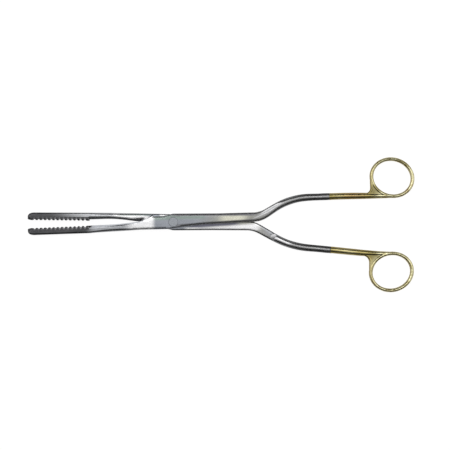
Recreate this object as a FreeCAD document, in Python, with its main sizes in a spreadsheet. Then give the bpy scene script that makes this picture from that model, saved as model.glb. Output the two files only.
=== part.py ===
import FreeCAD, Part
import math
import os
import Sketcher
from FreeCAD import Matrix, Placement, Rotation, Vector

# Ring handled bone forceps with a lap joint, lying flat with its jaws towards -X.
# Origin: on the pivot axis, in the plane that the instrument lies on. Lengths are millimetres.
# Each half is drawn in its own frame: pivot at the origin, lap plane at z = 0, and the line
# on which the jaws close along y = 0. The front half lies above the lap plane at the joint.
# The rear half is drawn the same way and then turned over about X.

doc = FreeCAD.newDocument("RingHandledForceps")
sheet = doc.addObject("Spreadsheet::Sheet", "Sizes")

SIZES = [
    ("lock_thickness", 7.6, "both halves together at the joint"),
    ("lap_gap", 0.06, "oil gap between the two lap faces"),
    ("side_clearance", 0.35, "room between a lap plate and the shoulder beside it"),
    ("edge_radius", 1.2, "rounding of the long edges at the joint"),
    ("neck_lip", 0.15, "how much sharper the neck's corners are where they meet that rounding"),
    ("front_open_angle", 2.45, "turn of the front half from closed, at rest"),
    ("rear_open_angle", -0.75, "turn of the rear half from closed, at rest"),
    ("jaw_reach", 105.2, "pivot to the tip of the nose"),
    ("jaw_root", 61.0, "pivot to the rear end of the toothed face"),
    ("jaw_width", 7.6, "jaw across the grip face"),
    ("jaw_close_gap", 0.1, "left between the tooth crests when closed"),
    ("front_jaw_back", 5.5, "closing line to the back of the front jaw"),
    ("rear_jaw_back", 5.9, "closing line to the back of the rear jaw"),
    ("jaw_back_radius", 2.4, "rounding of the back of a jaw"),
    ("grip_edge_radius", 1.3, "rounding along the grip face"),
    ("nose_length", 2.0, "plain nose in front of the insert"),
    ("insert_height", 2.8, "toothed insert, seat to crests"),
    ("braze_gap", 0.03, "solder film at each end of an insert"),
    ("tooth_pitch", 3.04, "crest to crest"),
    ("tooth_depth", 1.45, "crest to root"),
    ("tooth_crest", 0.16, "flat on each crest"),
    ("first_groove", 2.7, "front end of the insert to its first groove"),
    ("groove_count", 13, "grooves across each insert"),
    ("nose_round", 4.6, "rounded length of the nose"),
    ("neck_thickness", 6.5, "neck across, midway between jaw and lap plate"),
    ("front_root_inner", -0.1, "inner edge of the front neck behind its insert"),
    ("rear_root_inner", -1.1, "inner edge of the rear neck behind its insert"),
    ("front_neck_inner", 0.15, "inner edge of the front neck at its middle"),
    ("rear_neck_inner", -1.6, "inner edge of the rear neck at its middle"),
    ("front_neck_back", 4.95, "back of the front neck at its middle"),
    ("rear_neck_back", 6.0, "back of the rear neck at its middle"),
    ("plate_x", 24.0, "pivot to where the lap plate leaves the neck"),
    ("front_plate_inner", 1.3, "inner edge of the front half there"),
    ("rear_plate_inner", 0.1, "inner edge of the rear half there"),
    ("front_plate_back", 4.6, "back of the front half there"),
    ("rear_plate_back", 5.8, "back of the rear half there"),
    ("step_x", 18.4, "pivot to the foot of the plate's oblique end"),
    ("step_inner", 2.5, "height of the foot of the oblique end"),
    ("wing_x", 15.4, "pivot to the top of the oblique end"),
    ("wing_inner", 4.65, "height of the wing beside the pivot"),
    ("step_round", 3.0, "rounding at the foot of the oblique end"),
    ("wing_round", 1.6, "rounding at its top"),
    ("boss_x", 6.5, "pivot to the start of the boss"),
    ("shank_x", 20.0, "pivot to where the shank has become slim"),
    ("boss_inner", 6.05, "height of the boss over the pivot"),
    ("boss_foot_round", 4.0, "hollow rounding at the start of the boss"),
    ("boss_top_round", 5.0, "rounding over the boss"),
    ("boss_back_round", 12.0, "rounding of the back edge under the boss"),
    ("shank_round", 60.0, "slight bend of both edges of the slim shank"),
    ("boss_back_x", 3.5, "pivot to where the back edge starts to fall away"),
    ("front_boss_back", 5.0, "back edge of the front half there"),
    ("rear_boss_back", 5.7, "back edge of the rear half there"),
    ("shank_back", 2.75, "back edge of the slim shank behind the boss"),
    ("front_bend_x", 57.8, "pivot to the start of the front half's bend"),
    ("rear_bend_x", 52.7, "pivot to the start of the rear half's bend"),
    ("front_bend_y", 1.0, "centre line of the front half there"),
    ("rear_bend_y", 1.9, "centre line of the rear half there"),
    ("bend_width", 6.9, "shank across, at the start of the bend"),
    ("bend_radius", 20.0, "centre line of the first bend"),
    ("front_bend_angle", 30.0, "slope between the two bends, front half"),
    ("rear_bend_angle", 28.5, "slope between the two bends, rear half"),
    ("front_bend_run", 6.6, "straight between the two bends, front half"),
    ("rear_bend_run", 12.5, "straight between the two bends, rear half"),
    ("front_return_radius", 50.0, "centre line of the second bend, front half"),
    ("rear_return_radius", 60.0, "centre line of the second bend, rear half"),
    ("front_handle_angle", -0.5, "slope of the rod behind the bends, front half"),
    ("rear_handle_angle", 4.3, "slope of the rod behind the bends, rear half"),
    ("recess_entry_round", 8.0, "rounding of the shoulder where the lap recess begins"),
    ("recess_end", 73.0, "pivot to the end of the lap recess, along the closing line"),
    ("rod_diameter", 5.2, "rod behind the bends"),
    ("weld_x", 114.0, "pivot to the joint with the ring handle"),
    ("weld_diameter", 4.75, "rod at that joint"),
    ("front_ring_x", 159.4, "centre of the front ring, along the closing line"),
    ("rear_ring_x", 158.2, "centre of the rear ring, along the closing line"),
    ("front_ring_y", 25.3, "centre of the front ring, out from the closing line"),
    ("rear_ring_y", 34.05, "centre of the rear ring, out from the closing line"),
    ("ring_half_length", 15.0, "ring centre line, long half axis"),
    ("ring_half_width", 13.3, "ring centre line, short half axis"),
    ("front_ring_tilt", -19.0, "long axis of the front ring, from the closing line"),
    ("rear_ring_tilt", -14.0, "long axis of the rear ring, from the closing line"),
    ("ring_band", 2.55, "ring wire, in the plane of the ring"),
    ("ring_depth", 4.0, "ring wire, across the plane of the ring"),
    ("front_branch_radius", 4.7, "branch from the front rod to its ring, centre line"),
    ("rear_branch_radius", 6.2, "branch from the rear rod to its ring, centre line"),
    ("web_thickness", 3.3, "web in the corner between rod and ring"),
    ("screw_head", 6.8, "head diameter"),
    ("screw_head_height", 1.5, "head, let in flush"),
    ("screw_shoulder", 4.8, "plain shoulder that the front half turns on"),
    ("screw_thread", 4.0, "threaded end, in the rear half"),
    ("screw_edge", 0.15, "broken edge of the head"),
    ("pivot_clearance", 0.04, "radial, shoulder and head in the front half"),
    ("end_play", 0.04, "under the head"),
]
for row, (alias, value, note) in enumerate(SIZES, 1):
    sheet.set(f"A{row}", note)
    sheet.set(f"B{row}", str(value))
    sheet.setAlias(f"B{row}", alias)
doc.recompute()


TINY = 1e-4
# Corner radius of a rod or an oval band, as a share of its smaller size.
ROUND_SHARE = 0.48
# Corner radius of the neck, as a share of its thickness.
NECK_ROUND_SHARE = 0.3
# How far a quarter-way section of the neck has come from the neck's end towards its middle.
NECK_EASE = 0.6
NECK_EDGE_EASE = 0.7
# Blunt tip of the nose, as shares of the full jaw: edge at the grip, back, width, both roundings.
TIP_GRIP, TIP_BACK, TIP_WIDTH, TIP_GRIP_ROUND, TIP_BACK_ROUND = 0.12, 0.5, 0.68, 0.55, 0.4
# Back of the jaw where the rounded nose begins, as a share of its height at the root.
NOSE_BACK = 0.94
NOSE_SECTIONS = 5
# Top corner of the slim shank: share of the way to the bend, and of the fall in height.
SHANK_CORNER_X, SHANK_CORNER_Y = 0.55, 0.75
# Size of an end that lies inside the finger ring, as a share of the ring's own band.
BURIED = 0.93
# How far the shank has turned from flat plate to round rod, station by station of its path.
RODDING = [0.0, 0.12, 0.28, 0.46, 0.6, 0.74, 0.86, 0.94, 1.0]
# Sections along the first bend, each straight run and the second bend.
BEND_STEPS, RUN_STEPS, RETURN_STEPS = 3, 2, 4
# Sections along the rod of a ring handle, the quarter turn of its branch and the branch's end.
RING_ROD_STEPS, BRANCH_STEPS, BRANCH_END_STEPS = 6, 4, 3
# Edge of the web inside the ring, as shares of its arc, and inside the branch, in degrees.
WEB_RING_SHARES = (0.92, 0.5, 0.12)
WEB_BRANCH_ANGLES = (-8, -45, -82)
# Size of the branch's hidden foot and of its hub, as shares of its end inside the ring.
BRANCH_FOOT, BRANCH_HUB = 0.6, 0.8


def size(alias):
    return float(sheet.get(alias))


def side_size(side, alias):
    """A size that differs between the front half and the rear half."""
    return size(f"{side}_{alias}")


def mix(a, b, share):
    return a + (b - a) * share


def origin_feature(body, role):
    return next(f for f in body.Origin.OriginFeatures if f.Role == role)


def new_sketch(body, name, place=Placement(), role="XY_Plane"):
    sketch = body.newObject("Sketcher::SketchObject", name)
    sketch.AttachmentSupport = [(origin_feature(body, role), "")]
    sketch.MapMode = "FlatFace"
    sketch.AttachmentOffset = place
    sketch.Visibility = False
    return sketch


def bind(sketch, label, constraint, expression):
    """Adds a named constraint that follows an expression over the sheet."""
    index = sketch.addConstraint(constraint)
    sketch.renameConstraint(index, label)
    sketch.setExpression(f"Constraints.{label}", expression)


def bound_polygon(body, name, corners, role="XY_Plane"):
    """Closed outline of straight lines. Each corner is a pair of expressions over the sheet."""
    sketch = new_sketch(body, name, role=role)
    points = [Vector(float(sketch.evalExpression(x)), float(sketch.evalExpression(y)), 0)
              for x, y in corners]
    count = len(points)
    for n in range(count):
        sketch.addGeometry(Part.LineSegment(points[n], points[(n + 1) % count]))
    for n in range(count):
        sketch.addConstraint(Sketcher.Constraint("Coincident", n, 2, (n + 1) % count, 1))
    for n, (x, y) in enumerate(corners):
        bind(sketch, f"x{n}", Sketcher.Constraint("DistanceX", -1, 1, n, 1, points[n].x), x)
        bind(sketch, f"y{n}", Sketcher.Constraint("DistanceY", -1, 1, n, 1, points[n].y), y)
    return sketch


def bound_circle(body, name, diameter, height="0"):
    """Circle about the pivot axis, at a height over the lap plane."""
    sketch = new_sketch(body, name)
    sketch.setExpression("AttachmentOffset.Base.z", height)
    radius = float(sketch.evalExpression(diameter)) / 2
    sketch.addGeometry(Part.Circle(Vector(0, 0, 0), Vector(0, 0, 1), radius))
    sketch.addConstraint(Sketcher.Constraint("Coincident", 0, 3, -1, 1))
    bind(sketch, "diameter", Sketcher.Constraint("Diameter", 0, 2 * radius), diameter)
    return sketch


def across_path(x, y, heading):
    """Placement of a section: its x axis points to the left of the path, its y axis up."""
    c, s = math.cos(math.radians(heading)), math.sin(math.radians(heading))
    return Placement(Matrix(-s, 0, c, x, c, 0, s, y, 0, 1, 0, 0, 0, 0, 0, 1))


def rounded_section(body, name, place, width, depth, left_radius, right_radius):
    """Section of four sides and four corner arcs, with its width along the sketch's x axis.

    A size is a number, or an expression over the sheet that its constraint then follows.
    """
    sketch = new_sketch(body, name, place)
    w, d, left, right = (
        float(sketch.evalExpression(v)) if isinstance(v, str) else v
        for v in (width, depth, left_radius, right_radius)
    )
    w, d = w / 2, d / 2
    sides = [((left - w, -d), (w - right, -d)), ((w, right - d), (w, d - right)),
             ((w - right, d), (left - w, d)), ((-w, d - left), (-w, left - d))]
    corners = [(w - right, right - d, right), (w - right, d - right, right),
               (left - w, d - left, left), (left - w, left - d, left)]
    for n, ((start, end), (x, y, radius)) in enumerate(zip(sides, corners)):
        sketch.addGeometry(Part.LineSegment(Vector(*start, 0), Vector(*end, 0)))
        circle = Part.Circle(Vector(x, y, 0), Vector(0, 0, 1), radius)
        begin = (n + 3) * math.pi / 2
        sketch.addGeometry(Part.ArcOfCircle(circle, begin, begin + math.pi / 2))
    for n in range(4):
        line, arc, following = 2 * n, 2 * n + 1, (2 * n + 2) % 8
        sketch.addConstraint(Sketcher.Constraint("Tangent", line, 2, arc, 1))
        sketch.addConstraint(Sketcher.Constraint("Tangent", arc, 2, following, 1))
        sketch.addConstraint(Sketcher.Constraint("Vertical" if n % 2 else "Horizontal", line))
    named = [
        ("half_left", Sketcher.Constraint("DistanceX", 6, 1, -1, 1, w), width, " / 2"),
        ("half_right", Sketcher.Constraint("DistanceX", -1, 1, 2, 1, w), width, " / 2"),
        ("half_top", Sketcher.Constraint("DistanceY", -1, 1, 4, 1, d), depth, " / 2"),
        ("half_bottom", Sketcher.Constraint("DistanceY", 0, 1, -1, 1, d), depth, " / 2"),
        ("right_low", Sketcher.Constraint("Radius", 1, right), right_radius, ""),
        ("right_high", Sketcher.Constraint("Radius", 3, right), right_radius, ""),
        ("left_high", Sketcher.Constraint("Radius", 5, left), left_radius, ""),
        ("left_low", Sketcher.Constraint("Radius", 7, left), left_radius, ""),
    ]
    for label, constraint, value, share in named:
        if isinstance(value, str):
            bind(sketch, label, constraint, f"({value}){share}")
        else:
            sketch.addConstraint(constraint)
    return sketch


def loft(body, name, sections):
    feature = body.newObject("PartDesign::AdditiveLoft", name)
    feature.Profile = sections[0]
    feature.Sections = sections[1:]
    doc.recompute()
    return feature


def loft_along(body, name, stations):
    """Loft through stations (x, y, heading, width, depth, left radius, right radius)."""
    return loft(body, name, [
        rounded_section(body, f"{name}_section_{n}", across_path(x, y, heading), *sizes)
        for n, (x, y, heading, *sizes) in enumerate(stations, 1)
    ])


def round_station(x, y, heading, width, depth):
    """Station of a rod or an oval band: its corners are nearly half as large as its sides."""
    radius = ROUND_SHARE * min(width, depth)
    return (x, y, heading, width, depth, radius, radius)


def cut(body, name, sketch, length, symmetric=False):
    """Pocket that goes down from its sketch, or both ways, and that must remove metal."""
    before = body.Shape.Volume
    pocket = body.newObject("PartDesign::Pocket", name)
    pocket.Profile = sketch
    if symmetric:
        pocket.SideType = "Symmetric"
    pocket.setExpression("Length", length)
    doc.recompute()
    if not body.Shape.Volume < before:
        raise ValueError(f"{name} removes nothing")
    return pocket


def rounded_chain(points):
    """Lines through the points (x, y, radius), with a tangent arc of that radius at each corner."""
    edges, last = [], Vector(points[0][0], points[0][1], 0)
    for before, corner, after in zip(points, points[1:], points[2:]):
        here = Vector(corner[0], corner[1], 0)
        back = (Vector(before[0], before[1], 0) - here).normalize()
        ahead = (Vector(after[0], after[1], 0) - here).normalize()
        half = back.getAngle(ahead) / 2
        reach = corner[2] / math.tan(half)
        middle = (back + ahead).normalize()
        centre = here + middle * (corner[2] / math.sin(half))
        start, end = here + back * reach, here + ahead * reach
        edges.append(Part.LineSegment(last, start))
        edges.append(Part.Arc(start, centre - middle * corner[2], end))
        last = end
    edges.append(Part.LineSegment(last, Vector(points[-1][0], points[-1][1], 0)))
    return edges


def joined(*chains):
    """The chains one after another, each joined to the next, and the last to the first."""
    edges = []
    for chain, following in zip(chains, chains[1:] + chains[:1]):
        edges += chain + [Part.LineSegment(chain[-1].EndPoint, following[0].StartPoint)]
    return edges


def plate_inner_edge(side):
    """Inner edge of one half from the neck to the boss: (x, y, corner radius)."""
    return [
        (-size("plate_x"), side_size(side, "plate_inner"), 0),
        (-size("step_x"), size("step_inner"), size("step_round")),
        (-size("wing_x"), size("wing_inner"), size("wing_round")),
        (-size("boss_x"), size("wing_inner"), size("boss_foot_round")),
        (0, size("boss_inner"), size("boss_top_round")),
    ]


def bend_path(side):
    """Stations (x, y, heading) of the bent shank: first bend, straight, second bend, rod."""
    slope, handle = side_size(side, "bend_angle"), side_size(side, "handle_angle")
    stations = [(side_size(side, "bend_x"), side_size(side, "bend_y"), 0.0)]

    def turn(radius, total, parts):
        x, y, heading = stations[-1]
        arm = math.copysign(radius, total)
        cx = x - arm * math.sin(math.radians(heading))
        cy = y + arm * math.cos(math.radians(heading))
        for n in range(1, parts + 1):
            a = heading + total * n / parts
            stations.append((cx + arm * math.sin(math.radians(a)),
                             cy - arm * math.cos(math.radians(a)), a))

    def run(length, parts):
        x, y, heading = stations[-1]
        a = math.radians(heading)
        for n in range(1, parts + 1):
            step = length * n / parts
            stations.append((x + step * math.cos(a), y + step * math.sin(a), heading))

    turn(size("bend_radius"), slope, BEND_STEPS)
    run(side_size(side, "bend_run"), RUN_STEPS)
    turn(side_size(side, "return_radius"), handle - slope, RETURN_STEPS)
    run((size("weld_x") - stations[-1][0]) / math.cos(math.radians(handle)), RUN_STEPS)
    return stations


def make_plate(body, side):
    """Lap plate with its boss over the pivot and the flat shank, at the joint's full thickness."""
    bend_x, bend_y, heading = bend_path(side)[0]
    half = size("bend_width") / 2
    inner = plate_inner_edge(side) + [
        (mix(0, bend_x, SHANK_CORNER_X), mix(size("boss_inner"), bend_y + half, SHANK_CORNER_Y),
         size("shank_round")),
        (bend_x, bend_y + half, 0),
    ]
    back = [
        (bend_x, bend_y - half, 0),
        (size("shank_x"), -size("shank_back"), size("shank_round")),
        (-size("boss_back_x"), -side_size(side, "boss_back"), size("boss_back_round")),
        (-size("plate_x"), -side_size(side, "plate_back"), 0),
    ]
    outline = new_sketch(body, f"{side}_plate_outline")
    outline.addGeometry(joined(rounded_chain(inner), rounded_chain(back)))
    plate = body.newObject("PartDesign::Pad", f"{side}_plate")
    plate.Profile = outline
    plate.SideType = "Symmetric"
    plate.setExpression("Length", "Sizes.lock_thickness")
    doc.recompute()
    face = size("lock_thickness") / 2
    long_edges = [
        f"Edge{n}" for n, edge in enumerate(plate.Shape.Edges, 1)
        if abs(abs(edge.CenterOfMass.z) - face) < TINY
        and TINY - size("plate_x") < edge.CenterOfMass.x < bend_x - TINY
    ]
    rounding = body.newObject("PartDesign::Fillet", f"{side}_plate_rounding")
    rounding.Base = (plate, long_edges)
    rounding.setExpression("Radius", "Sizes.edge_radius")
    doc.recompute()


def make_jaw(body, side):
    """Neck, jaw back and rounded nose, from the lap plate forwards."""
    plate_x, root, reach = size("plate_x"), size("jaw_root"), size("jaw_reach")
    jaw_back, close = side_size(side, "jaw_back"), size("jaw_close_gap") / 2
    width, thin = size("jaw_width"), size("neck_thickness")
    grip, back = size("grip_edge_radius"), size("jaw_back_radius")
    edge, neck_edge = size("edge_radius"), NECK_ROUND_SHARE * thin
    neck_inner, neck_back = side_size(side, "neck_inner"), side_size(side, "neck_back")
    root_inner, plate_inner = side_size(side, "root_inner"), side_size(side, "plate_inner")
    plate_back = side_size(side, "plate_back")

    def station(x, inner, outer, depth, inner_radius, outer_radius):
        """Station between an inner edge and a back edge, both as heights over the closing line."""
        return (-x, (inner - outer) / 2, 0, inner + outer, depth, inner_radius, outer_radius)

    neck = [
        station(root, root_inner, jaw_back, "Sizes.jaw_width",
                "Sizes.grip_edge_radius", "Sizes.jaw_back_radius"),
        station(mix(root, plate_x, 0.25), mix(root_inner, neck_inner, NECK_EDGE_EASE),
                mix(jaw_back, neck_back, NECK_EDGE_EASE), mix(width, thin, NECK_EASE),
                mix(grip, neck_edge, NECK_EASE), mix(back, neck_edge, NECK_EASE)),
        station(mix(root, plate_x, 0.5), neck_inner, neck_back, "Sizes.neck_thickness",
                neck_edge, neck_edge),
        station(mix(root, plate_x, 0.75), mix(plate_inner, neck_inner, NECK_EASE),
                mix(plate_back, neck_back, NECK_EASE),
                mix(size("lock_thickness"), thin, NECK_EASE),
                mix(edge, neck_edge, NECK_EASE), mix(edge, neck_edge, NECK_EASE)),
        station(plate_x, plate_inner, plate_back, "Sizes.lock_thickness",
                "Sizes.edge_radius - Sizes.neck_lip", "Sizes.edge_radius - Sizes.neck_lip"),
    ]
    nose = []
    for n in range(NOSE_SECTIONS):
        share = n / (NOSE_SECTIONS - 1)
        swell = math.sqrt(1 - (1 - share) ** 2)
        nose.append(station(reach - share * size("nose_round"),
                            -mix(TIP_GRIP * jaw_back, close, swell),
                            mix(TIP_BACK, NOSE_BACK, swell) * jaw_back,
                            mix(TIP_WIDTH, 1.0, swell) * width,
                            mix(TIP_GRIP_ROUND, 1.0, swell) * grip,
                            mix(TIP_BACK_ROUND, 1.0, swell) * back))
    jaw = [nose[-1], station(root, -close, jaw_back, "Sizes.jaw_width",
                             "Sizes.grip_edge_radius", "Sizes.jaw_back_radius")]
    loft_along(body, f"{side}_neck", neck)
    loft_along(body, f"{side}_jaw", jaw)
    loft_along(body, f"{side}_nose", nose)


def make_rod(body, side):
    """Shank that turns from the flat plate into the round rod, through both bends."""
    path = bend_path(side)
    rod, thick = size("rod_diameter"), size("lock_thickness")
    first_round = len(RODDING) - 1
    stations = []
    for n, (x, y, heading) in enumerate(path):
        share = RODDING[min(n, first_round)]
        late = max(0, n - first_round) / (len(path) - 1 - first_round)
        diameter = mix(rod, size("weld_diameter"), late)
        width = mix(size("bend_width"), diameter, share)
        depth = mix(thick, diameter, share)
        corner = mix(size("edge_radius"), ROUND_SHARE * diameter, share)
        stations.append((x, y, heading, width, depth, corner, corner))
    loft_along(body, f"{side}_rod", stations)


def cut_recess(body, side):
    """Lap recess: leaves room for the other half's plate, from its oblique end to the bend."""
    other = "rear" if side == "front" else "front"
    gap, far = size("side_clearance"), size("lock_thickness") * 2
    foot, step, wing = plate_inner_edge(other)[:3]
    entry_x = -mix(size("jaw_root"), size("plate_x"), 0.75)
    entry_y = mix(side_size(other, "plate_inner"), side_size(other, "neck_inner"), NECK_EASE)
    shoulder = rounded_chain([
        (entry_x, -entry_y - gap, 0),
        (foot[0], -foot[1] - gap, size("recess_entry_round")),
        (step[0], -step[1] - gap, step[2]),
        (wing[0] + gap, -wing[1] - gap, wing[2]),
        (wing[0] + gap, -far, 0),
    ])
    x, y, heading = bend_path(side)[BEND_STEPS + 1]
    c, s = math.cos(math.radians(heading)), math.sin(math.radians(heading))
    along = (size("recess_end") - x) / c
    end_x, end_y = x + along * c, y + along * s
    end_wall = [Part.LineSegment(Vector(end_x + far * s, end_y - far * c, 0),
                                 Vector(end_x - far * s, end_y + far * c, 0))]
    top = [Part.LineSegment(Vector(end_x - far * s, end_y + 2 * far, 0),
                            Vector(entry_x, end_y + 2 * far, 0))]
    outline = new_sketch(body, f"{side}_recess_outline")
    outline.addGeometry(joined(shoulder, end_wall, top))
    outline.setExpression("AttachmentOffset.Base.z", "Sizes.lap_gap / 2")
    cut(body, f"{side}_recess", outline, "Sizes.lock_thickness")


def insert_corners(film):
    """Outline of a toothed insert in its half's frame, less a film of solder at its ends."""
    front = f"-Sizes.jaw_reach + Sizes.nose_length + {film}"
    rear = f"-Sizes.jaw_root - {film}"
    seat = "-Sizes.insert_height - Sizes.jaw_close_gap / 2"
    return front, rear, seat


def make_arm(side):
    """One half: nose, jaw back, neck, lap plate, bent shank and rod, forged in one piece."""
    body = doc.addObject("PartDesign::Body", f"{side}_arm")
    make_plate(body, side)
    make_jaw(body, side)
    make_rod(body, side)
    cut_recess(body, side)
    front, rear, seat = insert_corners("0")
    outline = bound_polygon(body, f"{side}_seat_outline", [
        (front, "Sizes.jaw_width"), (front, seat), (rear, seat), (rear, "Sizes.jaw_width")])
    cut(body, f"{side}_seat", outline, "2 * Sizes.jaw_width", symmetric=True)
    return body


def bore_front_arm(body):
    """Plain bore for the screw's shoulder and a flat seat for its head."""
    bore = bound_circle(body, "pivot_bore_circle",
                        "Sizes.screw_shoulder + 2 * Sizes.pivot_clearance")
    cut(body, "pivot_bore", bore, "2 * Sizes.lock_thickness", symmetric=True)
    head = bound_circle(body, "head_seat_circle",
                        "Sizes.screw_head + 2 * Sizes.pivot_clearance",
                        "Sizes.lock_thickness / 2")
    cut(body, "head_seat", head, "Sizes.screw_head_height + Sizes.end_play")


def tap_rear_arm(body):
    """Hole for the screw's threaded end."""
    hole = bound_circle(body, "tapped_hole_circle", "Sizes.screw_thread")
    cut(body, "tapped_hole", hole, "2 * Sizes.lock_thickness", symmetric=True)


def make_insert(side):
    """Hard bar with cross teeth, brazed into the grip face of a jaw."""
    body = doc.addObject("PartDesign::Body", f"{side}_jaw_insert")
    front, rear, seat = insert_corners("Sizes.braze_gap")
    crest = "-Sizes.jaw_close_gap / 2"
    outline = bound_polygon(body, f"{side}_insert_outline",
                            [(front, crest), (front, seat), (rear, seat), (rear, crest)])
    bar = body.newObject("PartDesign::Pad", f"{side}_insert_bar")
    bar.Profile = outline
    bar.SideType = "Symmetric"
    bar.setExpression("Length", "Sizes.jaw_width")
    doc.recompute()
    grip_y = -size("jaw_close_gap") / 2
    grip_edges = [
        f"Edge{n}" for n, edge in enumerate(bar.Shape.Edges, 1)
        if abs(edge.CenterOfMass.y - grip_y) < TINY and abs(edge.CenterOfMass.z) > TINY
    ]
    rounding = body.newObject("PartDesign::Fillet", f"{side}_insert_rounding")
    rounding.Base = (bar, grip_edges)
    rounding.setExpression("Radius", "Sizes.grip_edge_radius")
    doc.recompute()
    middle = "-Sizes.jaw_reach + Sizes.nose_length + Sizes.first_groove"
    half = "(Sizes.tooth_pitch - Sizes.tooth_crest) / 2"
    groove = bound_polygon(body, f"{side}_groove_outline", [
        (f"{middle} - {half}", crest), (middle, f"{crest} - Sizes.tooth_depth"),
        (f"{middle} + {half}", crest), (middle, f"{crest} + Sizes.tooth_depth")])
    first = cut(body, f"{side}_groove", groove, "2 * Sizes.jaw_width", symmetric=True)
    one = body.Shape.Volume
    teeth = body.newObject("PartDesign::LinearPattern", f"{side}_teeth")
    teeth.Originals = [first]
    teeth.Direction = (origin_feature(body, "X_Axis"), [""])
    teeth.setExpression("Length", "Sizes.tooth_pitch * (Sizes.groove_count - 1)")
    teeth.setExpression("Occurrences", "Sizes.groove_count")
    body.Tip = teeth
    doc.recompute()
    if not body.Shape.Volume < one:
        raise ValueError(f"{side} teeth are not repeated")
    return body


def ellipse_point(side, half_length, half_width, angle):
    """Point of a finger ring's ellipse, by its parameter angle in degrees."""
    t, tilt = math.radians(angle), math.radians(side_size(side, "ring_tilt"))
    along, across = half_length * math.cos(t), half_width * math.sin(t)
    return Vector(side_size(side, "ring_x") + along * math.cos(tilt) - across * math.sin(tilt),
                  side_size(side, "ring_y") + along * math.sin(tilt) + across * math.cos(tilt), 0)


def ring_extreme(side, half_length, half_width, direction):
    """Parameter angle at which the ring's ellipse reaches furthest in a direction."""
    turn = math.radians(direction - side_size(side, "ring_tilt"))
    return math.degrees(math.atan2(half_width * math.sin(turn), half_length * math.cos(turn)))


def make_ring_handle(side):
    """Rear end of the rod with its finger ring, the branch that closes the ring, and the web."""
    body = doc.addObject("PartDesign::Body", f"{side}_ring_handle")
    long_axis, short_axis = size("ring_half_length"), size("ring_half_width")
    band, deep = size("ring_band"), size("ring_depth")
    weld_x, weld_y, handle = bend_path(side)[-1]
    weld = size("weld_diameter")

    # Rod: its inner side runs straight on and becomes the outer side of the ring.
    low_angle = ring_extreme(side, long_axis, short_axis, -90)
    low = ellipse_point(side, long_axis, short_axis, low_angle)
    slope = math.tan(math.radians(handle))
    start_y, end_y = weld_y - weld / 2 / math.cos(math.radians(handle)), low.y - band / 2
    run = low.x - weld_x
    slim, shallow = BURIED * band, BURIED * deep

    def rod_edges(share):
        """Inner and outer edge of the rod, by its share of the way to the ring's low point."""
        rise = (share ** 3 - 2 * share ** 2 + share) * slope * run
        ease = 3 * share ** 2 - 2 * share ** 3
        inner = mix(start_y, end_y, ease) + rise + (band - slim) / 2 * share
        return inner, inner + mix(weld / math.cos(math.radians(handle)), slim, share ** 3)

    stations = []
    for n in range(RING_ROD_STEPS + 1):
        share = n / RING_ROD_STEPS
        inner, outer = rod_edges(share)
        ahead, behind = rod_edges(share + TINY), rod_edges(share - TINY)
        climb = (sum(ahead) - sum(behind)) / 2 / (2 * TINY * run)
        heading = math.degrees(math.atan(climb)) if n else handle
        width = (outer - inner) * math.cos(math.radians(heading))
        stations.append(round_station(weld_x + share * run, (inner + outer) / 2, heading,
                                      width, mix(weld, shallow, share)))
    loft_along(body, f"{side}_ring_rod", stations)

    # Centre of the branch's turn from the rod's outer side into the ring's near side.
    near_angle = ring_extreme(side, long_axis, short_axis, 180)
    near = ellipse_point(side, long_axis, short_axis, near_angle)
    radius = side_size(side, "branch_radius")
    lean = math.radians(handle)
    foot_x = near.x - radius + radius * math.sin(lean)
    foot_y = rod_edges((foot_x - weld_x) / run)[1] - slim / 2
    hub = Vector(foot_x - radius * math.sin(lean), foot_y + radius * math.cos(lean), 0)

    # Web: fills the corner between rod, branch and ring, with its edge inside all three.
    corner = new_sketch(body, f"{side}_web_outline")
    ring_side = Part.Arc(*(
        ellipse_point(side, long_axis, short_axis, mix(near_angle % 360, low_angle % 360, share))
        for share in WEB_RING_SHARES
    ))
    branch_side = Part.Arc(*(
        hub + Vector(math.cos(math.radians(a)), math.sin(math.radians(a)), 0) * radius
        for a in WEB_BRANCH_ANGLES
    ))
    corner.addGeometry(joined([ring_side], [branch_side]))
    web = body.newObject("PartDesign::Pad", f"{side}_web")
    web.Profile = corner
    web.SideType = "Symmetric"
    web.setExpression("Length", "Sizes.web_thickness")
    doc.recompute()

    # Ring: an oval band along an ellipse.
    path = new_sketch(body, f"{side}_ring_path")
    centre = Vector(side_size(side, "ring_x"), side_size(side, "ring_y"), 0)
    tip, side_tip = (ellipse_point(side, long_axis, short_axis, a) for a in (0, 90))
    path.addGeometry(Part.Ellipse(tip, side_tip, centre))
    tilt = side_size(side, "ring_tilt")
    section = rounded_section(
        body, f"{side}_ring_section", across_path(tip.x, tip.y, tilt + 90),
        "Sizes.ring_band", "Sizes.ring_depth", ROUND_SHARE * band, ROUND_SHARE * band)
    ring = body.newObject("PartDesign::AdditivePipe", f"{side}_ring")
    ring.Profile = section
    ring.Spine = (path, [])
    doc.recompute()

    # Branch: up the quarter turn, then straight into the ring.
    stations = [round_station(foot_x - radius * math.cos(lean), foot_y - radius * math.sin(lean),
                              handle, BRANCH_FOOT * slim, BRANCH_FOOT * shallow)]
    for n in range(BRANCH_STEPS + 1):
        a = mix(lean, math.pi / 2, n / BRANCH_STEPS)
        grown = mix(BRANCH_HUB, 1.0, n / BRANCH_STEPS)
        stations.append(round_station(hub.x + radius * math.sin(a), hub.y - radius * math.cos(a),
                                      math.degrees(a), grown * slim, grown * shallow))
    straight = near.y - band / 2 - hub.y
    for n in range(1, BRANCH_END_STEPS + 1):
        stations.append(round_station(hub.x + radius, hub.y + straight * n / BRANCH_END_STEPS, 90,
                                      slim, shallow))
    loft_along(body, f"{side}_branch", stations)
    return body


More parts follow.
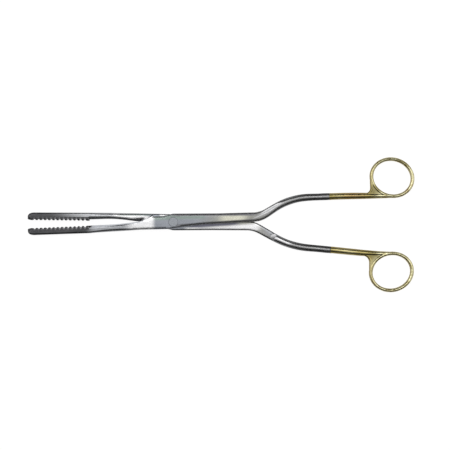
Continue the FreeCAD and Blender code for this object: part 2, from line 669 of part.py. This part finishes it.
def make_screw():
    """Pivot screw: flush head, plain shoulder and threaded end."""
    body = doc.addObject("PartDesign::Body", "pivot_screw")
    top, bottom = "Sizes.lock_thickness / 2", "-Sizes.lock_thickness / 2"
    head, shoulder, thread = ("Sizes.screw_head / 2", "Sizes.screw_shoulder / 2",
                              "Sizes.screw_thread / 2")
    under, lap = f"{top} - Sizes.screw_head_height", "-Sizes.lap_gap / 2"
    profile = bound_polygon(body, "screw_profile", [
        ("0", bottom), (thread, bottom), (thread, lap), (shoulder, lap), (shoulder, under),
        (head, under), (head, f"{top} - Sizes.screw_edge"), (f"{head} - Sizes.screw_edge", top),
        ("0", top)], role="XZ_Plane")
    turned = body.newObject("PartDesign::Revolution", "turned_screw")
    turned.Profile = profile
    turned.ReferenceAxis = (profile, ["V_Axis"])
    turned.Angle = 360
    doc.recompute()
    return body


def place_half(body, side):
    """Turns a half's piece to its rest angle. The rear half is turned over first."""
    turn = Rotation(Vector(0, 0, 1), side_size(side, "open_angle"))
    if side == "rear":
        turn = turn.multiply(Rotation(Vector(1, 0, 0), 180))
    body.Placement = Placement(Vector(0, 0, size("lock_thickness") / 2), turn)


parts = []
for side in ("rear", "front"):
    arm = make_arm(side)
    if side == "front":
        bore_front_arm(arm)
    else:
        tap_rear_arm(arm)
    for piece in (arm, make_insert(side), make_ring_handle(side)):
        place_half(piece, side)
        parts.append(piece)
screw = make_screw()
screw.setExpression("Placement.Base.z", "Sizes.lock_thickness / 2")
parts.append(screw)
doc.recompute()

for item in doc.Objects:
    if "Invalid" in item.State or "Error" in item.State:
        raise ValueError(f"{item.Name} failed: {item.State}")
os.makedirs("parts", exist_ok=True)
for piece in parts:
    shape = piece.Shape
    if shape.isNull() or not shape.isValid() or len(shape.Solids) != 1:
        raise ValueError(f"{piece.Label} is not one valid solid")
for piece in parts:
    piece.Shape.exportStep(f"parts/{piece.Label}.step")
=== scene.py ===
import math

import bpy
import numpy as np
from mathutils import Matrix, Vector


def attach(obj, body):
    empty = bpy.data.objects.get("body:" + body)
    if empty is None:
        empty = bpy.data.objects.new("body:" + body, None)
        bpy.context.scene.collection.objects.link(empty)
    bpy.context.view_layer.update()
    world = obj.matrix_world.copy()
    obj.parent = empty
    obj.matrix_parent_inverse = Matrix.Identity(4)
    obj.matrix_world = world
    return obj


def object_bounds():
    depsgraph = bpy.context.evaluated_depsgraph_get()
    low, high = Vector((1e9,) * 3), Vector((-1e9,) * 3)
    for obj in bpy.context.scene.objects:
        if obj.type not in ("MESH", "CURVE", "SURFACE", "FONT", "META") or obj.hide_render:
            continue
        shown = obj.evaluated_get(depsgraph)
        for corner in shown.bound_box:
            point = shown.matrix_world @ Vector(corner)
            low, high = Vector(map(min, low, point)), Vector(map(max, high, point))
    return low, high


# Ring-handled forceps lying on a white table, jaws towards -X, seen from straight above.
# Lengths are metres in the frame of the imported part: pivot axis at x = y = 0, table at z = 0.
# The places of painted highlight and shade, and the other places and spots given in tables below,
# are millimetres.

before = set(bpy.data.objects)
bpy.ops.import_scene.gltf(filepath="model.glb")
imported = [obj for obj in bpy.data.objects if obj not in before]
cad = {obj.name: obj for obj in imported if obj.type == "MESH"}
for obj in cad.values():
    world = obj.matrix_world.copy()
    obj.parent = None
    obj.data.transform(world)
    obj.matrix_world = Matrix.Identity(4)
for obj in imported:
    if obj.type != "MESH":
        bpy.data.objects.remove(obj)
cad_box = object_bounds()

REAR, FRONT = "rear_half", "front_half"
MM = 0.001
# How the halves stand at rest: turn from closed, in degrees.
FRONT_TURN, REAR_TURN = 2.45, -0.75

# Teeth of the inserts, from the pivot: first crest, pitch, and how far a groove's run-out goes.
FIRST_CREST, PITCH, GROOVE_REACH = -0.10185, 0.00304, 0.0024
# How far the polish rolls over an edge.
POLISH_RADIUS = 0.0026
# Where one colour goes over into the next along a half: from and to, outwards from the pivot.
TO_NECK, TO_WARM, TO_ROD = (-0.018, -0.036), (0.012, 0.040), (0.052, 0.070)
TO_ROD_SIDE_SHADE, TO_RING_HIGHLIGHT = (0.078, 0.100), (0.142, 0.148)
TO_FRONT_JAW, TO_REAR_JAW = (-0.056, -0.064), (-0.055, -0.092)

# Colours of the steel, with the colours of its painted highlights and shades.
STEEL_EDGE = (0.45, 0.45, 0.46, 1)
COOL_STEEL, WARM_STEEL = (0.35, 0.37, 0.41, 1), (0.40, 0.40, 0.36, 1)
# The second colour is painted shade: the dark grip edge of the front neck and the dark line between
# the painted glints.
ROD_STEEL, EDGE_SHADE = (0.38, 0.38, 0.38, 1), (0.32, 0.33, 0.35, 1)
# The rear neck is painted lighter than the front one: a painted highlight.
FRONT_NECK, REAR_NECK_HIGHLIGHT = (0.40, 0.41, 0.43, 1), (0.60, 0.61, 0.63, 1)
# Near-white colours for painted glare, the painted highlights of the places below.
PAINTED_GLARE, WARM_PAINTED_GLARE = (0.98, 0.98, 0.99, 1), (0.80, 0.79, 0.66, 1)
# The second colour is a painted sheen, slightly lighter than the rod, for the facet of the rear
# bend.
GREEN_STEEL, PAINTED_SHEEN = (0.31, 0.365, 0.345, 1), (0.40, 0.41, 0.43, 1)
# Painted shade: under the front half, and along the rims of the shank.
SHADE, RIM_SHADE = (0.15, 0.15, 0.19, 1), (0.18, 0.18, 0.19, 1)
# Painted glints along the rods' bends.
ROD_GLINT, BRIGHT_GLINT = (0.60, 0.60, 0.61, 1), (0.85, 0.85, 0.86, 1)
BURNISHED_DARK, BURNISHED_LIGHT = (0.07, 0.072, 0.075, 1), (0.105, 0.105, 0.11, 1)
# Painted shade for the steel's sides, and a darker one for the rods' sides towards the gold.
STEEL_SIDE_SHADE, ROD_SIDE_SHADE = (0.125, 0.129, 0.135, 1), (0.03, 0.028, 0.027, 1)
SCREW_DARK, SCREW_LIGHT = (0.33, 0.35, 0.38, 1), (0.36, 0.38, 0.41, 1)
RIDGE_DARK, RIDGE_LIGHT = (0.5, 0.5, 0.52, 1), (0.62, 0.62, 0.63, 1)

# Colours of the inserts and of the gold plating.
INSERT_DARK, INSERT_LIGHT = (0.055, 0.055, 0.058, 1), (0.11, 0.11, 0.115, 1)
# Lighter grey for the run-outs of the grooves.
RUNOUT_LIGHT = (0.28, 0.28, 0.29, 1)
GOLD_EDGE = (0.6, 0.5, 0.3, 1)
OLIVE_GOLD, LIGHT_GOLD = (0.41, 0.34, 0.13, 1), (0.62, 0.55, 0.29, 1)
# Coppery plating, and a pale gold for the painted highlights on the rings.
COPPER_GOLD, GOLD_HIGHLIGHT = (0.48, 0.27, 0.13, 1), (0.92, 0.87, 0.54, 1)
# The webs' own dark olive, and a painted shade for the gold's sides.
WEB_OLIVE, GOLD_SIDE_SHADE = (0.2, 0.17, 0.06, 1), (0.10, 0.065, 0.014, 1)

# Places of painted highlight, shade and tint on the front half: centre, half size, fade, turn in
# degrees, colour.
front_painted_places = {
    "green tint of the lap plate": ((3.7, 3.6), (19.0, 1.8), (4, 2), 2, GREEN_STEEL),
    "glare of the neck": ((-26.5, -0.6), (6.0, 6.0), (10, 2), 20, PAINTED_GLARE),
    "glare at the lap plate": ((-19.0, -0.6), (4.8, 6.0), (4, 2), 0, PAINTED_GLARE),
    "grip edge of the neck": ((-42.5, -1.4), (19.0, 1.3), (5, 1), 6.1, EDGE_SHADE),
    "warm gleam before the bend": ((43.5, 2.8), (8.5, 2.0), (9, 3), 2, WARM_PAINTED_GLARE),
    "inner rim of the shank": ((30.0, -0.5), (30.0, 0.6), (12, 1.2), 4.1, RIM_SHADE),
    "outer rim of the shank": ((30.0, 5.4), (31.0, 1.0), (10, 1.0), 0.4, RIM_SHADE),
    "outer glint of the bend": ((70.6, 10.4), (8.0, 0.3), (6, 0.6), 29.3, ROD_GLINT),
    "inner glint at its start": ((64.4, 5.5), (6.6, 0.4), (4, 0.6), 24.6, ROD_GLINT),
    "inner glint at its end": ((74.2, 11.1), (5.6, 0.4), (4, 0.6), 34.5, ROD_GLINT),
    "line between the glints": ((68.8, 8.5), (8.0, 0.2), (6, 0.4), 28.5, EDGE_SHADE),
}
# The same on the rear half.
rear_painted_places = {
    "glare of the neck": ((-30.0, 4.0), (13.5, 1.8), (5, 1), -8, PAINTED_GLARE),
    "green rim of the neck": ((-27.5, 5.1), (11.5, 0.5), (6, 0.8), 0, GREEN_STEEL),
    "wedge beside the lap plate": ((-6.8, 5.4), (3.2, 1.6), (1, 1), 20, PAINTED_GLARE),
    "shade of the front half": ((29.0, -2.1), (18.0, 1.2), (8, 1.6), 2.5, SHADE),
    "bright band of the shank": ((35.0, -5.6), (27.0, 2.4), (6, 2.4), 4.6, PAINTED_GLARE),
    "gleam where the shank starts": ((13.8, -4.7), (5.0, 0.6), (5, 0.8), 0, PAINTED_GLARE),
    # Painted sheen on the facet of the rear bend.
    "painted sheen on the bend's facet": ((68.8, -4.8), (9.6, 2.8), (2, 1.5), -45, PAINTED_SHEEN),
    "glint behind the ridge": ((79.0, -13.8), (5.8, 0.8), (4, 0.8), -21.5, BRIGHT_GLINT),
}
# Where the edges stay crisp: round the screw's head, at the jaws, at the joint and on the neck.
SCREW_CRISP = ((0, 0), (5.0, 5.0), (0.8, 0.8), 0)
JAW_CRISP = ((-85.0, 0), (27.0, 20.0), (8, 8), 0)
rear_crisp = (SCREW_CRISP, JAW_CRISP, ((-18.7, 4.0), (3.0, 6.5), (4, 2), 0))
front_crisp = (SCREW_CRISP, JAW_CRISP, ((-22.5, 3.5), (6.5, 6.5), (2, 2), 0),
               ((-45.0, -3.0), (16.0, 8.0), (3, 3), 0))
# Ground flat on the front half: the grip edge of the neck, the slanting end of the lap plate,
# and the outer side of the bend.
front_flat = (
    ((-40.5, -1.4), (20.0, 1.1), (6, 0.8), 6.1),
    ((-18.6, 3.0), (5.2, 1.8), (1, 1), 35),
    ((70.6, 10.4), (7.5, 0.6), (10, 0.6), 29.3),
)
# Spots of the gold plating: centre and reach.
copper_spots = (((130, 21, 4), 14), ((169, 24, 4), 13), ((150, -47, 4), 10))
web_spots = (((145.5, 22.5, 4), 7), ((145.0, -23.5, 4), 7))


# Small helpers for node materials.

def new_material(name):
    """Material and its node tree, which is empty."""
    material = bpy.data.materials.new(name)
    material.use_nodes = True
    material.node_tree.nodes.clear()
    return material, material.node_tree


def node(tree, kind, inputs=None, **settings):
    """A shader node with its settings, and with inputs that are values or other nodes' sockets."""
    made = tree.nodes.new(kind)
    for name, value in settings.items():
        setattr(made, name, value)
    for key, value in (inputs or {}).items():
        if isinstance(value, bpy.types.NodeSocket):
            tree.links.new(value, made.inputs[key])
        else:
            made.inputs[key].default_value = value
    return made


def math_node(tree, operation, a, b=0.0):
    """Result of one operation. One on a single value leaves b unused."""
    return node(tree, "ShaderNodeMath", {0: a, 1: b}, operation=operation).outputs[0]


def smooth_share(tree, value, low, high, start=0.0, end=1.0):
    """Goes smoothly from start to end while the value goes from low to high."""
    return node(tree, "ShaderNodeMapRange",
                {"Value": value, "From Min": low, "From Max": high,
                 "To Min": start, "To Max": end},
                interpolation_type="SMOOTHSTEP").outputs["Result"]


def blend_colours(tree, share, a, b):
    """Colour a where the share is nothing, colour b where it is one."""
    return node(tree, "ShaderNodeMix", {0: share, 6: a, 7: b}, data_type="RGBA").outputs[2]


def scale_colour(tree, colour, factor):
    """Colour times a factor."""
    return node(tree, "ShaderNodeVectorMath", {0: colour, "Scale": factor},
                operation="SCALE").outputs[0]


def noise(tree, point, scale, detail=3.0, roughness=0.5, stretch=(1, 1, 1)):
    """Fractal noise at a scale per metre, stretched along the axes."""
    grain = tuple(scale * s for s in stretch)
    moved = node(tree, "ShaderNodeMapping", {"Vector": point, "Scale": grain})
    return node(tree, "ShaderNodeTexNoise",
                {"Vector": moved.outputs[0], "Scale": 1.0, "Detail": detail,
                 "Roughness": roughness}).outputs["Fac"]


def mottled(tree, grain, low, high, dark, light):
    """Dark colour where a noise is below low, light one where it is above high."""
    return blend_colours(tree, smooth_share(tree, grain, low, high), dark, light)


def bump(tree, height, strength, distance, normal):
    """Normal that is tilted by the slope of a height."""
    return node(tree, "ShaderNodeBump", {"Height": height, "Strength": strength,
                                         "Distance": distance, "Normal": normal}).outputs[0]


def near_spots(tree, point, spots):
    """One at a spot's centre, fading smoothly to nothing at its reach."""
    share = 0.0
    for centre, reach in spots:
        away = node(tree, "ShaderNodeVectorMath",
                    {0: point, 1: tuple(c * MM for c in centre)}, operation="DISTANCE")
        near = smooth_share(tree, away.outputs["Value"], 0.0, reach * MM, 1.0, 0.0)
        share = math_node(tree, "MAXIMUM", share, near)
    return share


def zone(tree, point, centre, half, fade, turn):
    """One inside an oblong seen from above, fading out over its edge. Turn is in degrees."""
    local = node(tree, "ShaderNodeMapping",
                 {"Vector": point, "Location": (centre[0] * MM, centre[1] * MM, 0),
                  "Rotation": (0, 0, math.radians(turn))}, vector_type="TEXTURE")
    parts = node(tree, "ShaderNodeSeparateXYZ", {0: local.outputs[0]}).outputs
    inside = [smooth_share(tree, math_node(tree, "ABSOLUTE", parts[axis]),
                           (half[axis] - fade[axis] / 2) * MM, (half[axis] + fade[axis] / 2) * MM,
                           1.0, 0.0)
              for axis in (0, 1)]
    return math_node(tree, "MULTIPLY", *inside)


def polished_normal(tree, point, crisp, flat):
    """Normal with its edges polished over.

    It stays as it is in the crisp places, and is eased to straight up or down in the flat ones.
    A place is a centre, half size, fade and turn.
    """
    plain = node(tree, "ShaderNodeNewGeometry").outputs["Normal"]
    normal = node(tree, "ShaderNodeBevel", {"Radius": POLISH_RADIUS}, samples=8).outputs[0]
    rise = node(tree, "ShaderNodeSeparateXYZ", {0: plain}).outputs["Z"]
    upright = node(tree, "ShaderNodeCombineXYZ", {2: math_node(tree, "SIGN", rise)}).outputs[0]
    for places, wanted, strength in ((crisp, plain, 1.0), (flat, upright, 0.85)):
        for place in places:
            inside = math_node(tree, "MULTIPLY", zone(tree, point, *place), strength)
            normal = node(tree, "ShaderNodeMix", {0: inside, 4: normal, 5: wanted},
                          data_type="VECTOR").outputs[1]
    return node(tree, "ShaderNodeVectorMath", {0: normal}, operation="NORMALIZE").outputs[0]


# Finishes.

def metal(name, colour_of, roughness, grain, edge_tint, crisp=(), flat=(), anisotropy=0.0):
    """Polished metal: lengthwise grain, hand polished waves, fine scratches, and the painted shade
    on the sides that colour_of gives.

    colour_of(tree, point, x, upright) gives the colour from the object's own coordinates and
    from how much a surface faces up or down. Crisp and flat are the places of polished_normal.
    Without them no edge is polished over.
    """
    material, tree = new_material(name)
    point = node(tree, "ShaderNodeTexCoord").outputs["Object"]
    x = node(tree, "ShaderNodeSeparateXYZ", {0: point}).outputs["X"]
    if crisp:
        surface = polished_normal(tree, point, crisp, flat)
    else:
        surface = node(tree, "ShaderNodeNewGeometry").outputs["Normal"]
    facing = node(tree, "ShaderNodeSeparateXYZ", {0: surface}).outputs["Z"]
    upright = math_node(tree, "ABSOLUTE", facing)

    streaks = noise(tree, point, 2400, 4, 0.6, (0.02, 1, 1))
    waves = noise(tree, point, 70, 2, 0.5, (0.6, 1.2, 1))
    specks = noise(tree, point, 900, 5, 0.7)
    along = noise(tree, point, 5200, 2, 0.5, (0.02, 1.0, 0.6))
    across = noise(tree, point, 3600, 2, 0.5, (0.5, 0.03, 1))
    scratches = math_node(tree, "MAXIMUM", smooth_share(tree, along, 0.66, 0.74),
                          smooth_share(tree, across, 0.7, 0.78))

    colour = colour_of(tree, point, x, upright)
    colour = scale_colour(tree, colour, smooth_share(tree, streaks, 0.3, 0.7, 0.93, 1.05))
    rough = smooth_share(tree, specks, 0.25, 0.75, roughness * 0.8, roughness * 1.25)
    rough = math_node(tree, "ADD", rough, math_node(tree, "MULTIPLY", scratches, 0.12))
    rough = math_node(tree, "ADD", rough, smooth_share(tree, upright, 0.9, 0.45, 0.0, 0.1))

    normal = bump(tree, waves, 0.22, 0.0006, surface)
    normal = bump(tree, streaks, grain, 0.00003, normal)
    normal = bump(tree, scratches, -0.25, 0.00001, normal)
    shader = node(tree, "ShaderNodeBsdfPrincipled", {
        "Base Color": colour, "Metallic": 1.0, "Roughness": rough, "Normal": normal,
        "Specular Tint": edge_tint, "Anisotropic": anisotropy})
    node(tree, "ShaderNodeOutputMaterial", {"Surface": shader.outputs[0]})
    return material


def steel_colour(to_jaw, neck, places):
    """Stainless steel that darkens to a burnished jaw along the half.

    Places are the half's places of painted highlight and shade, on its top and back. The sides are
    painted darker as shade, and the rods' sides darker still towards the gold.
    """
    def colour(tree, point, x, upright):
        plain = blend_colours(tree, smooth_share(tree, x, *TO_WARM), COOL_STEEL, WARM_STEEL)
        plain = blend_colours(tree, smooth_share(tree, x, *TO_ROD), plain, ROD_STEEL)
        plain = blend_colours(tree, smooth_share(tree, x, *TO_NECK), plain, neck)
        # The painted highlights and shades of the places go only on faces that look up or down.
        level = smooth_share(tree, upright, 0.3, 0.7)
        for *place, tone in places.values():
            share = math_node(tree, "MULTIPLY", zone(tree, point, *place), level)
            plain = blend_colours(tree, share, plain, tone)
        mottle = noise(tree, point, 160, 4, 0.6, (0.5, 1, 1))
        plain = blend_colours(tree, smooth_share(tree, mottle, 0.4, 0.75, 0.0, 0.5),
                              plain, scale_colour(tree, plain, 0.72))
        burnished = mottled(tree, mottle, 0.3, 0.7, BURNISHED_DARK, BURNISHED_LIGHT)
        plain = blend_colours(tree, smooth_share(tree, x, *to_jaw), plain, burnished)
        # Painted shade: the sides, which face neither up nor down, are darkened.
        side_shade = smooth_share(tree, upright, 0.97, 0.6, 0.0, 0.56)
        plain = blend_colours(tree, side_shade, plain, STEEL_SIDE_SHADE)
        # Painted shade: the rods' sides turn nearly black towards the gold.
        rod_shade = math_node(tree, "MULTIPLY", smooth_share(tree, upright, 0.99, 0.7, 0.0, 0.85),
                            smooth_share(tree, x, *TO_ROD_SIDE_SHADE))
        return blend_colours(tree, rod_shade, plain, ROD_SIDE_SHADE)
    return colour


def insert_colour(turn):
    """Hard metal, nearly black. The run-outs of the grooves are lighter, more to the rear.

    A run-out reaches from the grip face by 2 GROOVE_REACH times the distance from the next
    crest, which is counted in pitches. Turn is the half's own turn at rest, in degrees.
    """
    def colour(tree, point, x, upright):
        grain = noise(tree, point, 1500, 5, 0.65)
        plain = mottled(tree, grain, 0.3, 0.7, INSERT_DARK, INSERT_LIGHT)
        local = node(tree, "ShaderNodeMapping",
                     {"Vector": point, "Rotation": (0, 0, math.radians(turn))},
                     vector_type="TEXTURE")
        along, across, _ = node(tree, "ShaderNodeSeparateXYZ", {0: local.outputs[0]}).outputs
        turns = math_node(tree, "DIVIDE", math_node(tree, "SUBTRACT", along, FIRST_CREST), PITCH)
        from_crest = math_node(tree, "PINGPONG", turns, 0.5)
        depth = math_node(tree, "ABSOLUTE", across)
        reach = math_node(tree, "MULTIPLY", from_crest, 2 * GROOVE_REACH)
        # The run-outs are coloured lighter.
        lighter_runout = smooth_share(tree, math_node(tree, "SUBTRACT", depth, reach),
                              -0.0003, 0.0003, 1.0, 0.0)
        lighter_runout = math_node(tree, "MULTIPLY", lighter_runout,
                           smooth_share(tree, along, -0.102, -0.070, 0.15, 1.0))
        return blend_colours(tree, lighter_runout, plain, RUNOUT_LIGHT)
    return colour


def gold_colour(tree, point, x, upright):
    """Thin gold plating: olive gold with coppery patches, and painted brown shade on its sides.

    The finger rings get painted highlights in small pale patches, and the webs are dark olive.
    """
    gold = mottled(tree, noise(tree, point, 55, 3, 0.55), 0.35, 0.65, OLIVE_GOLD, LIGHT_GOLD)
    copper = math_node(tree, "MULTIPLY", near_spots(tree, point, copper_spots), 0.45)
    gold = blend_colours(tree, copper, gold, COPPER_GOLD)
    # Painted highlights: pale patches on the finger rings.
    patches = smooth_share(tree, noise(tree, point, 330, 3, 0.6), 0.38, 0.56, 0.15, 0.9)
    ring_highlight = math_node(tree, "MULTIPLY", patches, smooth_share(tree, x, *TO_RING_HIGHLIGHT))
    gold = blend_colours(tree, ring_highlight, gold, GOLD_HIGHLIGHT)
    web = math_node(tree, "MULTIPLY", near_spots(tree, point, web_spots), 0.8)
    gold = blend_colours(tree, web, gold, WEB_OLIVE)
    # Painted shade: the gold's sides are darkened to brown.
    side_shade = smooth_share(tree, upright, 0.88, 0.4, 0.0, 0.72)
    return blend_colours(tree, side_shade, gold, GOLD_SIDE_SHADE)


def plain_steel(dark, light):
    """Steel that is finely mottled between two greys."""
    def colour(tree, point, x, upright):
        return mottled(tree, noise(tree, point, 700, 3, 0.6), 0.3, 0.7, dark, light)
    return colour


front_steel = steel_colour(TO_FRONT_JAW, FRONT_NECK, front_painted_places)
rear_steel = steel_colour(TO_REAR_JAW, REAR_NECK_HIGHLIGHT, rear_painted_places)
finishes = {
    "front_arm": metal("front_half_steel", front_steel, 0.2, 0.35, STEEL_EDGE,
                       front_crisp, front_flat, 0.3),
    "rear_arm": metal("rear_half_steel", rear_steel, 0.2, 0.35, STEEL_EDGE, rear_crisp, (), 0.3),
    "front_ring_handle": metal("front_gold_plate", gold_colour, 0.16, 0.25, GOLD_EDGE),
    "rear_ring_handle": metal("rear_gold_plate", gold_colour, 0.16, 0.25, GOLD_EDGE),
    "front_jaw_insert": metal("front_insert_metal", insert_colour(FRONT_TURN), 0.3, 0.3, STEEL_EDGE),
    "rear_jaw_insert": metal("rear_insert_metal", insert_colour(REAR_TURN), 0.3, 0.3, STEEL_EDGE),
    "pivot_screw": metal("screw_steel", plain_steel(SCREW_DARK, SCREW_LIGHT), 0.22, 0.2, STEEL_EDGE),
}
for name, material in finishes.items():
    mesh = cad[name].data
    mesh.materials.clear()
    mesh.materials.append(material)


# Pieces made here: the weld bands of the gold handles and the ridge behind the lap recess.

def link(name, data):
    """New object in the scene."""
    made = bpy.data.objects.new(name, data)
    bpy.context.scene.collection.objects.link(made)
    return made


def mesh_piece(name, points, faces, half, material):
    """Smooth closed piece that rides with a half. Points are a grid of x, y, z."""
    mesh = bpy.data.meshes.new(name)
    mesh.from_pydata(points.reshape(-1, 3).tolist(), [], faces)
    mesh.polygons.foreach_set("use_smooth", np.ones(len(faces), dtype=bool))
    mesh.materials.append(material)
    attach(link(name, mesh), half)


def grid_faces(rows, columns, closed_rows):
    """Faces of a grid whose columns close on themselves, and its rows too if asked."""
    row = np.arange(rows if closed_rows else rows - 1)[:, None]
    column = np.arange(columns)[None, :]
    above, beside = (row + 1) % rows, (column + 1) % columns
    corners = (row * columns + column, above * columns + column,
               above * columns + beside, row * columns + beside)
    shape = (len(row), columns)
    return np.stack([np.broadcast_to(c, shape) for c in corners], -1).reshape(-1, 4).tolist()


def rod_end(handle):
    """Centre, heading and radius of a gold handle's front end, from its outermost two points."""
    mesh = handle.data
    points = np.empty(len(mesh.vertices) * 3)
    mesh.vertices.foreach_get("co", points)
    points = points.reshape(-1, 3)
    end_depth = 0.0004
    face = points[points[:, 0] < points[:, 0].min() + end_depth]
    low, high = face[face[:, 1].argmin()], face[face[:, 1].argmax()]
    across = high - low
    return (low + high) / 2, math.atan2(-across[0], across[1]), np.linalg.norm(across) / 2


def weld_band(name, handle, half, material):
    """Dressed butt weld: a band round the rod, of a flat oval section.

    A section point at angle s lies at w cos s along the rod and at r + h sin s from its axis,
    and the section is turned about the axis.
    """
    half_width, rise = 0.0007, 0.00007
    rows, columns = 16, 64
    centre, heading, radius = rod_end(handle)
    s = np.linspace(0, 2 * np.pi, rows, endpoint=False)[:, None]
    t = np.linspace(0, 2 * np.pi, columns, endpoint=False)[None, :]
    along = half_width * np.cos(s) + 0 * t
    out = radius + rise * np.sin(s)
    side, up = out * np.cos(t), out * np.sin(t)
    points = np.stack([centre[0] + along * math.cos(heading) - side * math.sin(heading),
                       centre[1] + along * math.sin(heading) + side * math.cos(heading),
                       centre[2] + up], -1)
    mesh_piece(name, points, grid_faces(rows, columns, True), half, material)


def ridge(name, centre, half_size, turn, half, material):
    """Rounded ridge: a flat ball with a small facet at either end, turned about Z by degrees.

    A point at angles a and b lies at (A cos a, B sin a cos b, C sin a sin b).
    """
    rows, columns, end_angle = 32, 48, 0.02
    a = np.linspace(end_angle, np.pi - end_angle, rows)[:, None]
    b = np.linspace(0, 2 * np.pi, columns, endpoint=False)[None, :]
    x = half_size[0] * np.cos(a) + 0 * b
    y, z = half_size[1] * np.sin(a) * np.cos(b), half_size[2] * np.sin(a) * np.sin(b)
    c, s = math.cos(math.radians(turn)), math.sin(math.radians(turn))
    points = np.stack([centre[0] + x * c - y * s, centre[1] + x * s + y * c, centre[2] + z], -1)
    first, last = list(range(columns)), list(range((rows - 1) * columns, rows * columns))
    faces = [*grid_faces(rows, columns, False), first, last[::-1]]
    mesh_piece(name, points, faces, half, material)


weld_band("front_weld_band", cad["front_ring_handle"], FRONT, finishes["front_ring_handle"])
weld_band("rear_weld_band", cad["rear_ring_handle"], REAR, finishes["rear_ring_handle"])
ridge("recess_ridge", (0.0722, -0.0104, 0.00632), (0.0022, 0.0024, 0.00056), -32, REAR,
      metal("ridge_steel", plain_steel(RIDGE_DARK, RIDGE_LIGHT), 0.35, 0.3, STEEL_EDGE))


# Studio: white table, pale surroundings, a long soft box and dark cards for the reflections.

# The middle of the picture, and how wide it is there.
VIEW_X, VIEW_Y, VIEW_SPAN = 0.0373, -0.0022, 0.3258
# What the cards and the soft box face.
AIM = Vector((0.037, 0, 0))


def card(name, azimuth, tilt, distance, size, level):
    """Flat card facing the forceps: it is reflected in the metal, and not seen.

    It stands in a direction given by its azimuth from +X and its tilt from straight up, both
    in degrees. Size is its width and height, and level its brightness.
    """
    w, h = size[0] / 2, size[1] / 2
    mesh = bpy.data.meshes.new(name)
    mesh.from_pydata([(-w, -h, 0), (w, -h, 0), (w, h, 0), (-w, h, 0)], [], [(0, 1, 2, 3)])
    made = link(name, mesh)
    a, t = math.radians(azimuth), math.radians(tilt)
    out = Vector((math.sin(t) * math.cos(a), math.sin(t) * math.sin(a), math.cos(t)))
    made.location = AIM + out * distance
    made.rotation_euler = (-out).to_track_quat("Z", "Y").to_euler()
    made.visible_camera = False
    made.visible_shadow = False
    material, tree = new_material(name)
    shine = node(tree, "ShaderNodeEmission", {"Color": (1, 1, 1, 1), "Strength": level})
    node(tree, "ShaderNodeOutputMaterial", {"Surface": shine.outputs[0]})
    mesh.materials.append(material)


def floor_material():
    """White table: lit paper that keeps a soft shadow, white to camera and in reflections."""
    material, tree = new_material("table_white")
    path = node(tree, "ShaderNodeLightPath").outputs
    seen = math_node(tree, "MAXIMUM", path["Is Camera Ray"], path["Is Glossy Ray"])
    seen = math_node(tree, "MAXIMUM", seen, path["Is Transmission Ray"])
    paper = node(tree, "ShaderNodeBsdfDiffuse", {"Color": (0.2, 0.2, 0.2, 1)})
    glow = node(tree, "ShaderNodeEmission", {"Color": (1, 1, 1, 1), "Strength": 0.93})
    white = node(tree, "ShaderNodeAddShader", {0: paper.outputs[0], 1: glow.outputs[0]})
    plain = node(tree, "ShaderNodeBsdfDiffuse", {"Color": (0.8, 0.8, 0.8, 1)})
    both = node(tree, "ShaderNodeMixShader", {0: seen, 1: plain.outputs[0], 2: white.outputs[0]})
    node(tree, "ShaderNodeOutputMaterial", {"Surface": both.outputs[0]})
    return material


def make_table():
    """Table that reaches far past the view, just under the forceps."""
    mesh = bpy.data.meshes.new("table")
    far = 30.0
    mesh.from_pydata([(-far, -far, 0), (far, -far, 0), (far, far, 0), (-far, far, 0)],
                     [], [(0, 1, 2, 3)])
    table = link("table", mesh)
    table.location.z = -0.00002
    mesh.materials.append(floor_material())


def make_world():
    """Evenly white surroundings."""
    world = bpy.data.worlds.new("pale_surroundings")
    world.use_nodes = True
    sky = world.node_tree.nodes["Background"]
    sky.inputs["Color"].default_value = (1, 1, 1, 1)
    sky.inputs["Strength"].default_value = 1.0
    bpy.context.scene.world = world


def make_soft_box():
    """Long soft box over the forceps, tilted towards the upper edge of the picture."""
    lamp = bpy.data.lights.new("soft_box", "AREA")
    lamp.shape = "RECTANGLE"
    lamp.size, lamp.size_y = 3.0, 0.5
    lamp.energy = 3.4
    box = link("soft_box", lamp)
    tilt, distance = math.radians(16), 1.4
    box.location = AIM + distance * Vector((0, math.sin(tilt), math.cos(tilt)))
    box.rotation_euler = (-tilt, 0, 0)


def make_camera():
    """Straight above, where the picture is VIEW_SPAN wide at half the forceps' height."""
    data = bpy.data.cameras.new("camera")
    data.lens, data.sensor_width = 100.0, 36.0
    mid_height = cad_box[1][2] / 2
    camera = link("camera", data)
    camera.location = (VIEW_X, VIEW_Y, mid_height + VIEW_SPAN * data.lens / data.sensor_width)
    bpy.context.scene.camera = camera


# Azimuth, tilt, distance, size and level of each card.
cards = {
    "south_low_card": (-90, 78, 1.7, (5.0, 0.85), 0.15),
    "south_mid_card": (-90, 47, 1.6, (5.0, 1.1), 0.03),
    "south_high_card": (-90, 20, 1.6, (5.0, 0.6), 0.3),
    "north_mid_card": (90, 47, 1.6, (5.0, 1.15), 0.05),
    "north_low_card": (90, 80, 1.7, (5.0, 0.9), 0.5),
    "east_card": (0, 68, 2.2, (3.0, 2.0), 0.6),
    "west_card": (180, 68, 2.2, (3.0, 2.0), 0.6),
    "top_card": (90, 2, 1.5, (1.6, 0.36), 0.85),
}
for name, setting in cards.items():
    card(name, *setting)
make_table()
make_world()
make_soft_box()
make_camera()
bpy.context.scene.view_settings.view_transform = "Standard"
